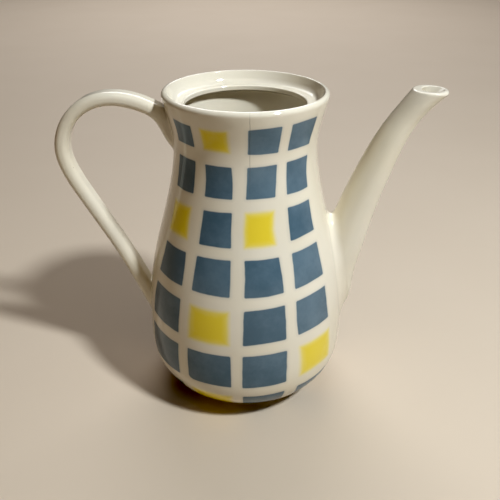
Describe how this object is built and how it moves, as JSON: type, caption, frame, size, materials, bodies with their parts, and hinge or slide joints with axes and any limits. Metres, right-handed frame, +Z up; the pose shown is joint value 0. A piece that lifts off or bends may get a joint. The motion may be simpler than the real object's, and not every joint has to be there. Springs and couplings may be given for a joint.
{
  "type": "coffee pot",
  "caption": "Waisted earthenware coffee pot without its lid: open gallery rim, long tapering spout, looped strap handle, and a pattern of coloured squares under a clear glaze.",
  "frame": {"origin": "centre of the foot's underside, on the body's axis", "axes": "+Z up along the body's axis, +X towards the spout, -X towards the handle"},
  "size_m": [0.2227, 0.1254, 0.1946],
  "materials": {
    "glaze": "clear glossy glaze over ivory earthenware",
    "slip": "fired clay slip, matt"
  },
  "bodies": {
    "root": {"body": "glaze", "spout": "glaze", "handle": "glaze", "spout_slip": "slip", "handle_upper_slip": "slip", "handle_lower_slip": "slip"}
  },
  "joints": []
}
